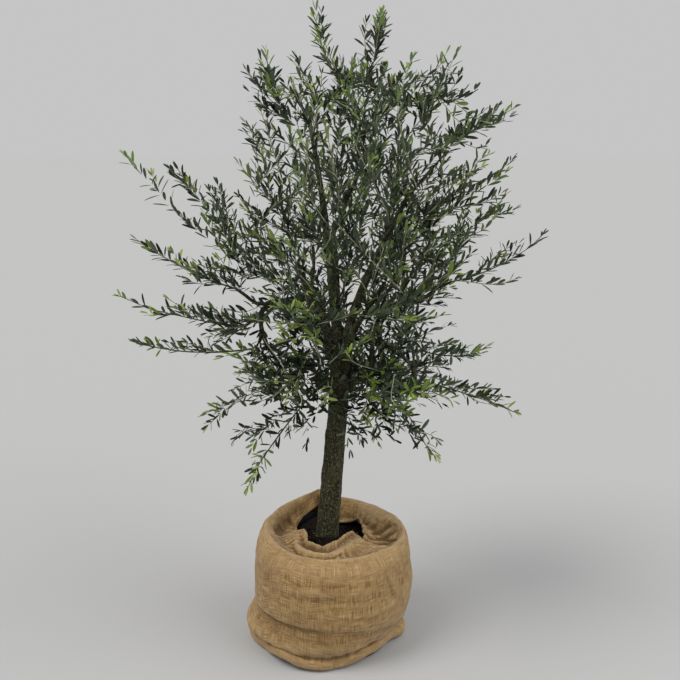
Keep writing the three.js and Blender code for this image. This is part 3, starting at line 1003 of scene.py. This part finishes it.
LIP = {
    0: (0.240, 0.105), 30: (0.249, 0.130), 60: (0.253, 0.150), 90: (0.254, 0.158), 140: (0.257, 0.162),
    180: (0.264, 0.162), 200: (0.263, 0.161), 215: (0.262, 0.166), 235: (0.259, 0.168), 250: (0.257, 0.170),
    270: (0.256, 0.172), 290: (0.254, 0.162), 310: (0.252, 0.150), 330: (0.248, 0.135), 345: (0.242, 0.115),
}
BELLY = {0: (0.258, 0.205), 90: (0.259, 0.205), 180: (0.265, 0.200), 270: (0.2575, 0.210)}
MIDDLE = {0: (0.2515, 0.285), 90: (0.253, 0.290), 180: (0.261, 0.285), 270: (0.2515, 0.290)}
SHOULDER = {
    0: (0.2475, 0.338), 90: (0.250, 0.342), 180: (0.252, 0.345), 215: (0.245, 0.345), 270: (0.240, 0.343),
    310: (0.241, 0.344), 340: (0.2455, 0.340),
}
CREST = {
    0: (0.236, 0.370), 30: (0.240, 0.371), 60: (0.241, 0.374), 72: (0.241, 0.379), 84: (0.241, 0.384),
    96: (0.240, 0.400), 103: (0.240, 0.418), 110: (0.240, 0.408), 124: (0.241, 0.394), 145: (0.241, 0.382),
    165: (0.239, 0.377), 185: (0.230, 0.374), 200: (0.220, 0.373), 215: (0.212, 0.373),
    240: (0.206, 0.3705), 270: (0.204, 0.3705), 300: (0.207, 0.373), 320: (0.215, 0.372),
    335: (0.224, 0.371), 350: (0.232, 0.370),
}
BRINK = {
    0: (0.222, 0.368), 16: (0.221, 0.369), 28: (0.213, 0.369), 38: (0.205, 0.370), 46: (0.198, 0.370),
    58: (0.205, 0.371), 70: (0.222, 0.372), 85: (0.226, 0.378), 98: (0.230, 0.392), 103: (0.235, 0.413),
    110: (0.233, 0.402), 124: (0.229, 0.386), 142: (0.225, 0.373), 155: (0.222, 0.368), 170: (0.214, 0.366),
    182: (0.199, 0.367), 190: (0.199, 0.368), 215: (0.194, 0.3665), 228: (0.191, 0.3625),
    240: (0.190, 0.3615), 255: (0.189, 0.3615), 270: (0.188, 0.364), 283: (0.189, 0.3675),
    300: (0.191, 0.369), 320: (0.200, 0.370), 335: (0.210, 0.368), 350: (0.216, 0.366),
}
WALL = {
    0: (0.204, 0.352), 20: (0.198, 0.352), 35: (0.178, 0.354), 46: (0.170, 0.356), 58: (0.180, 0.356),
    70: (0.200, 0.354), 85: (0.204, 0.356), 98: (0.217, 0.370), 103: (0.232, 0.405), 110: (0.229, 0.392),
    124: (0.222, 0.366), 140: (0.216, 0.345), 155: (0.210, 0.341), 170: (0.199, 0.341), 180: (0.184, 0.350),
    187: (0.172, 0.364), 200: (0.176, 0.363), 215: (0.174, 0.361), 228: (0.177, 0.354),
    240: (0.177, 0.3525), 258: (0.176, 0.3525), 270: (0.173, 0.357), 282: (0.172, 0.363),
    300: (0.174, 0.365), 320: (0.185, 0.369), 328: (0.190, 0.369), 335: (0.202, 0.360), 345: (0.206, 0.354),
}
FLOOR = {
    0: (0.172, 0.328), 20: (0.160, 0.330), 40: (0.152, 0.340), 55: (0.156, 0.340), 70: (0.184, 0.337),
    85: (0.184, 0.337), 98: (0.202, 0.352), 103: (0.230, 0.398), 110: (0.226, 0.384), 124: (0.216, 0.352),
    140: (0.204, 0.330), 155: (0.196, 0.327), 170: (0.178, 0.327), 179: (0.162, 0.334), 187: (0.143, 0.376),
    200: (0.146, 0.372), 215: (0.160, 0.361), 228: (0.168, 0.350), 240: (0.168, 0.348), 258: (0.164, 0.348),
    268: (0.158, 0.352), 280: (0.150, 0.363), 300: (0.148, 0.367), 318: (0.146, 0.370), 326: (0.150, 0.370),
    333: (0.165, 0.346), 345: (0.170, 0.330),
}
FOLD = {
    0: (0.134, 0.328), 20: (0.128, 0.338), 40: (0.130, 0.353), 55: (0.150, 0.350), 70: (0.170, 0.335),
    85: (0.166, 0.335), 98: (0.187, 0.346), 103: (0.228, 0.391), 110: (0.223, 0.378), 124: (0.213, 0.348),
    140: (0.192, 0.328), 155: (0.172, 0.326), 170: (0.146, 0.328), 179: (0.130, 0.338), 187: (0.126, 0.382),
    200: (0.126, 0.378), 215: (0.145, 0.369), 228: (0.154, 0.368), 240: (0.156, 0.368), 258: (0.153, 0.368),
    268: (0.147, 0.368), 285: (0.124, 0.371), 305: (0.108, 0.373), 320: (0.110, 0.374), 327: (0.126, 0.371),
    334: (0.134, 0.346), 345: (0.134, 0.329),
}
CREASE = {
    5: (0.113, 0.338), 20: (0.114, 0.352), 40: (0.124, 0.362), 55: (0.147, 0.359), 70: (0.164, 0.335),
    85: (0.156, 0.335), 98: (0.177, 0.343), 103: (0.226, 0.384), 110: (0.220, 0.370), 124: (0.210, 0.346),
    140: (0.180, 0.327), 155: (0.156, 0.326), 170: (0.127, 0.336), 179: (0.114, 0.346), 187: (0.113, 0.384),
    200: (0.113, 0.378), 209: (0.118, 0.362), 218: (0.122, 0.349), 229: (0.115, 0.345), 242: (0.113, 0.343),
    254: (0.118, 0.346), 264: (0.120, 0.354), 275: (0.100, 0.363), 285: (0.083, 0.364), 305: (0.073, 0.369),
    320: (0.073, 0.374), 333: (0.080, 0.376), 343: (0.092, 0.350), 352: (0.114, 0.330),
}
TONGUE = {
    5: (0.103, 0.354), 20: (0.106, 0.366), 40: (0.120, 0.369), 55: (0.145, 0.366), 70: (0.160, 0.337),
    85: (0.150, 0.337), 98: (0.167, 0.343), 103: (0.224, 0.380), 110: (0.218, 0.366), 124: (0.207, 0.345),
    133: (0.192, 0.332), 144: (0.160, 0.328), 155: (0.143, 0.328), 168: (0.116, 0.342), 179: (0.107, 0.352),
    187: (0.100, 0.386), 200: (0.099, 0.384), 214: (0.107, 0.366), 229: (0.103, 0.367), 237: (0.099, 0.363),
    246: (0.087, 0.355), 255: (0.078, 0.362), 268: (0.071, 0.368), 285: (0.064, 0.372), 305: (0.058, 0.379),
    320: (0.060, 0.385), 333: (0.068, 0.386), 343: (0.070, 0.378), 352: (0.107, 0.338),
}
ROLLED_HEM = ((-0.012, 0.012), (-0.003, 0.002), (0.010, 0.014), (0.009, 0.034), (0.0, 0.045))  # out and up
DRUM_AND_MOUTH = (BAND, VALLEY, LIP, BELLY, MIDDLE, SHOULDER, CREST, BRINK, WALL, FLOOR, FOLD, CREASE)
ROWS_BETWEEN = (3, 4, 4, 4, 7, 10, 5, 10, 13, 10, 7, 6, 7, 8, 8, 9, 8, 3)  # rows of mesh between the lines
LEVEL_WRINKLES = (  # height, half width, depth, azimuth, spread in degrees
    (0.262, 0.012, 0.0027, 262, 26), (0.232, 0.008, 0.0012, 284, 26), (0.308, 0.008, 0.0014, 268, 30),
    (0.332, 0.006, 0.0014, 280, 24), (0.322, 0.005, 0.0010, 252, 18), (0.196, 0.009, 0.0014, 292, 26),
    (0.112, 0.008, 0.0018, 256, 26), (0.098, 0.007, 0.0018, 300, 24), (0.120, 0.008, 0.0016, 320, 20),
    (0.320, 0.008, 0.0014, 40, 40), (0.235, 0.011, 0.0019, 120, 40), (0.290, 0.009, 0.0015, 190, 22),
    (0.190, 0.011, 0.0019, 60, 45), (0.270, 0.010, 0.0015, 352, 22), (0.175, 0.010, 0.0016, 10, 24),
    (0.225, 0.008, 0.0012, 214, 18), (0.300, 0.010, 0.0016, 90, 30),
)
UPRIGHT_CREASES = (  # azimuth, foot, top and depth
    (314, 0.19, 0.345, 0.0030), (216, 0.17, 0.30, 0.0015), (352, 0.16, 0.30, 0.0015),
    (140, 0.14, 0.33, 0.0025), (75, 0.12, 0.30, 0.0022), (30, 0.18, 0.33, 0.0018),
    (246, 0.20, 0.33, 0.0009), (172, 0.17, 0.33, 0.0017),
)


def wrap_lines(angle):
    """The sack's section at each azimuth: (radius, height) from the hem to the tucked free edge."""

    def line(table, out=0.0, lift=0.0):
        radius = around({a: v[0] for a, v in table.items()}, angle)
        height = around({a: v[1] for a, v in table.items()}, angle)
        return radius + out, height + lift

    hem, lift = around(HEM, angle), around(HEM_LIFT, angle)
    rolled = [(hem + out, lift + up) for out, up in ROLLED_HEM]
    return rolled + [line(table) for table in DRUM_AND_MOUTH] + [line(TONGUE), line(TONGUE, -0.0045, -0.006)]


def spline_rows(lines, counts):
    """Rows of (radius, height) on a smooth curve through the lines."""
    padded = [lines[0]] + lines + [lines[-1]]
    rows = []
    for k, count in enumerate(counts):
        p = [np.stack(padded[k + j], -1) for j in range(4)]
        bend = 2 * p[0] - 5 * p[1] + 4 * p[2] - p[3]
        twist = 3 * p[1] - p[0] - 3 * p[2] + p[3]
        for t in np.arange(count) / count:
            rows.append(0.5 * (2 * p[1] + (p[2] - p[0]) * t + bend * t**2 + twist * t**3))
    rows.append(np.stack(lines[-1], -1))
    return np.array(rows)


def grid_normals(grid):
    along = np.gradient(grid, axis=0)
    across = np.roll(grid, -1, axis=1) - np.roll(grid, 1, axis=1)
    return unit(np.cross(across, along))


def blurred(grid, reach):
    """A grid of points smoothed over reach cells each way; its columns close on themselves."""
    weights = np.exp(-0.5 * (np.arange(-2 * reach, 2 * reach + 1) / reach) ** 2)
    weights /= weights.sum()
    shifts = range(-2 * reach, 2 * reach + 1)
    grid = sum(w * np.roll(grid, k, axis=1) for w, k in zip(weights, shifts))
    padded = np.pad(grid, ((2 * reach, 2 * reach), (0, 0), (0, 0)), mode="edge")
    return sum(w * padded[k + 2 * reach : k + 2 * reach + len(grid)] for w, k in zip(weights, shifts))


def hollows(grid):
    """How sunken each point of the cloth is, 1 in a fold's bottom and -1 on a ridge."""
    normals = grid_normals(grid)
    total = 0
    for reach, size in ((2, 0.0020), (5, 0.0090)):
        total = total + np.sum((blurred(grid, reach) - grid) * normals, axis=2) / size
    return np.clip(total, -1, 1)


def sack_wrinkles(a, height, round_way):
    """Level wrinkles, each a trough with a roll above it, and upright creases, each beside a roll."""
    level_at = height + 0.010 * lattice_noise(round_way * [9, 9, 4], 21)
    wrinkles = np.zeros_like(height)
    for level, width, depth, azimuth, spread in LEVEL_WRINKLES:
        here = bump(a, azimuth, spread)
        wrinkles -= depth * np.exp(-(((level_at - level) / width) ** 2)) * here
        wrinkles += 0.6 * depth * np.exp(-(((level_at - level - 1.9 * width) / width) ** 2)) * here
    for azimuth, low, high, depth in UPRIGHT_CREASES:
        bend = azimuth + 3.0 * np.sin(height * 34 + azimuth)
        span = smoothstep(height, low, low + 0.05) * (1 - smoothstep(height, high - 0.05, high))
        wrinkles -= depth * bump(a, bend, 2.4) * span
        wrinkles += 0.7 * depth * bump(a, bend + 5.0, 3.2) * span
    return wrinkles


def sack_relief(a, height, rise, stage):
    """How far the cloth stands off its smooth section; stage counts the section's lines from the hem."""
    drum = smoothstep(stage, 4, 5) * (1 - smoothstep(stage, 10.6, 11.4))
    tucked = smoothstep(stage, 12.4, 13.4)
    mouth = smoothstep(stage, 11.8, 12.6) * (1 - smoothstep(stage, 15, 16))
    low_hem = smoothstep(stage, 1, 3) * (1 - smoothstep(stage, 4.2, 5.5))
    round_way = np.stack([np.cos(a) * CLOTH_RADIUS, np.sin(a) * CLOTH_RADIUS, rise], -1)
    sag = 0.0040 * lattice_noise(round_way * [11, 11, 9], 31)
    sag = sag + 0.0022 * lattice_noise(round_way * [26, 26, 22], 32)
    fine = 0.0009 * fractal(round_way * [60, 60, 70], 2, 33)
    # pleats of the tucked part: fine ones all round, deep ones where the cloth is bunched
    pleats = 0.0007 * np.sin(17 * a + 2.5 * np.sin(3 * a)) + 0.0004 * np.sin(41 * a + 2 * np.sin(5 * a + 1))
    pleats += 0.0009 * np.sin(60 * a + 2 * np.sin(7 * a)) * bump(a, 199, 10)
    pleats += 0.0040 * np.sin(27 * a + 1.0) * bump(a, 12, 20)
    gather = -0.0085 * bump(a, 352 + 14 * (stage - 13), 2.6) * mouth
    puckers = 0.0016 * np.sin(29 * a + 2 * np.sin(4 * a)) * low_hem
    seam = 0.0016 * bump(a, 106 + 1.5 * np.sin(rise * 30), 2.2) * drum
    lift = sack_wrinkles(a, height, round_way) * drum + sag * (0.3 + 0.7 * drum) + fine
    lift = lift + tucked * pleats + gather + puckers + seam
    return lift * (0.25 + 0.75 * smoothstep(stage, 1, 3))


def join_seam(mesh, turn):
    """The faces between the last column and the first get the full turn in their UVs, not 0."""
    layer = mesh.uv_layers["UVMap"]
    flat = np.empty(len(mesh.loops) * 2, np.float32)
    layer.data.foreach_get("uv", flat)
    flat = flat.reshape(-1, 3, 2)
    wide = np.ptp(flat[..., 0], axis=1) > 0.5
    flat[wide, :, 0] += np.where(flat[wide, :, 0] < 0.5, turn, 0)
    layer.data.foreach_set("uv", flat.ravel())


def make_wrap():
    """The sack as one layer of cloth: its skin, its lining and the two edges that join them."""
    columns = 384
    section = spline_rows(wrap_lines(full_turn(columns)), ROWS_BETWEEN)
    rows = len(section)
    radius, height = section[..., 0], section[..., 1]
    a = full_turn(columns)[None] + 0 * radius
    grid = np.stack([radius * np.cos(a), radius * np.sin(a), height], -1)
    steps = np.linalg.norm(np.diff(grid, axis=0), axis=2)
    rise = np.concatenate([np.zeros((1, columns)), np.cumsum(steps, axis=0)])
    marks = np.cumsum([0, *ROWS_BETWEEN])
    stage = np.interp(np.arange(rows), marks, np.arange(len(marks)))[:, None] + 0 * rise
    grid = grid + grid_normals(grid) * sack_relief(a, height, rise, stage)[..., None]
    grid[..., 2] = np.maximum(grid[..., 2], CLOTH + 0.0006)
    grid[..., 2] = np.where(stage > 11.5, np.maximum(grid[..., 2], SOIL_CLEARANCE), grid[..., 2])

    half = grid_normals(grid) * CLOTH / 2
    vertices = np.vstack([(grid + half).reshape(-1, 3), (grid - half).reshape(-1, 3)])
    n = rows * columns
    top = n - columns
    c = np.arange(columns)
    d = (c + 1) % columns
    outside = grid_triangles(rows, columns)
    hem = [np.stack([c, c + n, d + n], -1), np.stack([c, d + n, d], -1)]
    edge = [np.stack([top + c, top + d, top + d + n], -1), np.stack([top + c, top + d + n, top + c + n], -1)]
    triangles = np.vstack([outside, outside[:, ::-1] + n, *hem, *edge])
    uv = np.stack([a * CLOTH_RADIUS, rise], -1).reshape(-1, 2)
    piece = mesh_piece("burlap_sack", vertices, triangles, [burlap_material()], uv=np.vstack([uv, uv]))
    join_seam(piece.data, 2 * math.pi * CLOTH_RADIUS)
    # the painted shade in sunken folds and the painted highlight on ridges are stronger in the mouth than on
    # the drum
    shade = (hollows(grid) * (0.72 + 1.3 * smoothstep(stage, 10.8, 11.6))).clip(-1.3, 1.6).ravel()
    hollow = piece.data.attributes.new("hollow", "FLOAT", "POINT")
    hollow.data.foreach_set("value", np.concatenate([shade, shade]).astype(np.float32))
    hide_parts("burlap_wrap")


# ---------------------------------------------------------------- pot and soil
def lathe(profile, columns):
    """A closed skin turned from (radius, height) points."""
    angle = full_turn(columns)
    rows = [np.stack([r * np.cos(angle), r * np.sin(angle), np.full(columns, z)], -1) for r, z in profile]
    return closed_skin(np.concatenate(rows), columns, [0, 0, profile[0][1]], [0, 0, profile[-1][1]])


def make_pot():
    """A moulded nursery pot: a rounded lip, a tapering wall and a foot."""
    low, high = (np.array(p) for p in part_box("pot"))
    height = high[2]
    top = (high[0] - low[0]) / 2 - 0.001
    foot, wall, lip = 0.184, 0.003, 0.022

    def side(levels, inset=0.0):
        return [(foot + (top - 0.006 - foot) * z / height - inset, z) for z in levels]

    profile = [(foot * 0.9, 0.0), (foot - 0.004, 0.0), (foot, 0.003)]
    profile += side(np.linspace(0.006, height - lip - 0.003, 12))
    profile += [(top - 0.0015, height - lip), (top, height - lip + 0.002), (top, height - 0.003)]
    profile += [(top - 0.0015, height), (top - 0.0055, height), (top - 0.007, height - 0.003)]
    profile += side(np.linspace(height - 0.012, 0.006, 10), wall)
    profile += [(foot * 0.5, 0.004)]
    pot = mesh_piece("nursery_pot", *lathe(profile, 160), [plastic_material()])
    mark_creases(pot, 35)
    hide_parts("pot")


def mark_creases(piece, degrees):
    """Edges that turn more than so many degrees shade as sharp."""
    mesh = piece.data
    normals = np.empty(len(mesh.polygons) * 3)
    mesh.polygons.foreach_get("normal", normals)
    normals = normals.reshape(-1, 3)
    loops = np.empty(len(mesh.loops), np.int32)
    mesh.loops.foreach_get("edge_index", loops)
    faces = np.repeat(np.arange(len(mesh.polygons)), 3)
    order = np.argsort(loops, kind="stable")
    edges, owners = loops[order], faces[order]
    pair = edges[:-1] == edges[1:]
    first, second = owners[:-1][pair], owners[1:][pair]
    turn = np.einsum("ij,ij->i", normals[first], normals[second]) < math.cos(math.radians(degrees))
    values = np.zeros(len(mesh.edges), bool)
    values[edges[:-1][pair][turn]] = True
    mesh.attributes.new("sharp_edge", "BOOLEAN", "EDGE").data.foreach_set("value", values)


def clod(rng, centre, size):
    """One crumb: a rough eight-sided lump."""
    corners = np.array([[1, 0, 0], [-1, 0, 0], [0, 1, 0], [0, -1, 0], [0, 0, 1], [0, 0, -1]], float)
    corners = corners * rng.uniform(0.6, 1.2, (6, 1)) * size * rng.uniform(0.6, 1.1, 3)
    spin, _ = np.linalg.qr(rng.normal(size=(3, 3)))
    if np.linalg.det(spin) < 0:
        spin[:, 0] = -spin[:, 0]
    faces = [(0, 2, 4), (2, 1, 4), (1, 3, 4), (3, 0, 4), (2, 0, 5), (1, 2, 5), (3, 1, 5), (0, 3, 5)]
    return corners @ spin.T + centre, np.array(faces)


def soil_mound(x, y):
    """How much higher the soil lies round the trunk."""
    return 0.034 * np.exp(-((np.hypot(x + 0.024, y - 0.030) / 0.068) ** 2))


def make_soil():
    """The root ball with a rough top, its crumbs, and scattered perlite and bark chips."""
    low, high = (np.array(p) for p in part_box("soil"))
    level, reach = high[2], (high[0] - low[0]) / 2 - 0.002
    rows, columns = 70, 150
    angle = full_turn(columns)
    r, a = np.meshgrid(np.linspace(0.004, reach - 0.012, rows), angle, indexing="ij")
    flat = np.stack([r * np.cos(a), r * np.sin(a), r * 0], -1)
    bumps = 0.004 * lattice_noise(flat * 28, 1) + 0.003 * fractal(flat * 90, 3, 2)
    mound = soil_mound(flat[..., 0], flat[..., 1])
    bank = 0.022 * smoothstep(r, 0.13, reach - 0.014) * bump(a, 108, 13)  # soil thrown up at the back
    flat[..., 2] = level - 0.007 + bumps + mound + bank
    sides = [
        np.stack([x * np.cos(angle), x * np.sin(angle), np.full(columns, z)], -1)
        for x, z in ((reach, level - 0.014), (low[0] * -0.88, 0.006))
    ]
    skin = np.vstack([flat.reshape(-1, 3), *sides])
    vertices, triangles = closed_skin(skin, columns, [0, 0, level], [0, 0, 0.006])
    rng = rng_for("soil")

    def crumbs(count, smallest, largest, inner=0.03, outer=0.135):
        lumps = []
        for _ in range(count):
            turn = rng.uniform(0, 2 * math.pi)
            out = math.sqrt(rng.uniform(inner**2, outer**2))
            x, y = out * math.cos(turn) - 0.01, out * math.sin(turn) + 0.015
            place = [x, y, level - 0.006 + float(soil_mound(x, y)) + rng.uniform(-0.001, 0.003)]
            lumps.append(clod(rng, np.array(place), rng.uniform(smallest, largest)))
        return lumps

    ball = (vertices, triangles[:, ::-1])  # its rows run outwards and down
    soil = mesh_piece("potting_soil", *join([ball, *crumbs(700, 0.0025, 0.008)]), [soil_material()])
    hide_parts("soil")
    for name, material, rgb, count, smallest, largest in (
        ("soil_perlite", "perlite", (205, 200, 188), 90, 0.0012, 0.0026),
        ("soil_bark_chips", "soil_bark_chips", (70, 47, 30), 110, 0.003, 0.007),
    ):
        finish = plain_material(material, srgb(*rgb), 0.9)
        piece = mesh_piece(name, *join(crumbs(count, smallest, largest)), [finish])


# ---------------------------------------------------------------- stage
SKY_TONE = 0.56
LIGHTS = (  # name, where the light comes from, its angle across in degrees, strength and colour
    ("key", (-0.80, -0.45, 1.35), 30, 1.60, (1.0, 0.985, 0.96)),
    ("fill", (1.15, -0.45, 0.95), 50, 1.30, (0.99, 0.99, 1.0)),
)


def lit(toward, strength):
    """What a sun adds to a level white surface."""
    return strength * toward[2] / math.hypot(*toward) / math.pi


# the floor comes out as bright as the sky, so no horizon shows
FLOOR_TONE = SKY_TONE / (SKY_TONE + sum(lit(toward, strength) for _, toward, _, strength, _ in LIGHTS))


def make_stage():
    mesh = bpy.data.meshes.new("floor")
    size = 60
    corners = [(-size, -size, 0), (size, -size, 0), (size, size, 0), (-size, size, 0)]
    mesh.from_pydata(corners, [], [(0, 1, 2, 3)])
    floor = bpy.data.objects.new("floor", mesh)
    bpy.context.scene.collection.objects.link(floor)
    mesh.materials.append(plain_material("pale_floor", (FLOOR_TONE,) * 3, 1.0, Specular_IOR_Level=0.0))

    world = bpy.data.worlds.new("studio")
    world.use_nodes = True
    background = world.node_tree.nodes["Background"]
    background.inputs["Color"].default_value = (SKY_TONE, SKY_TONE, SKY_TONE, 1)
    background.inputs["Strength"].default_value = 1.0
    bpy.context.scene.world = world

    for name, toward, spread, strength, color in LIGHTS:
        light = bpy.data.lights.new(name, "SUN")
        light.energy = strength
        light.angle = math.radians(spread)
        light.color = color
        lamp = bpy.data.objects.new(name, light)
        lamp.rotation_euler = (-Vector(toward)).to_track_quat("-Z", "Y").to_euler()
        bpy.context.scene.collection.objects.link(lamp)

    camera = bpy.data.objects.new("camera", bpy.data.cameras.new("camera"))
    camera.data.lens = CAMERA["lens"]
    camera.location = CAMERA["place"]
    camera.rotation_euler = (math.radians(90 - CAMERA["down"]), 0, 0)
    bpy.context.scene.collection.objects.link(camera)
    bpy.context.scene.camera = camera
    bpy.context.scene.view_settings.view_transform = "Standard"


# ---------------------------------------------------------------- assembly
def main():
    make_stage()
    make_pot()
    make_soil()
    make_wrap()
    crown = Crown()
    crown.grow()
    make_trunk()
    make_wood(crown.wood)
    make_leaves(crown)


main()
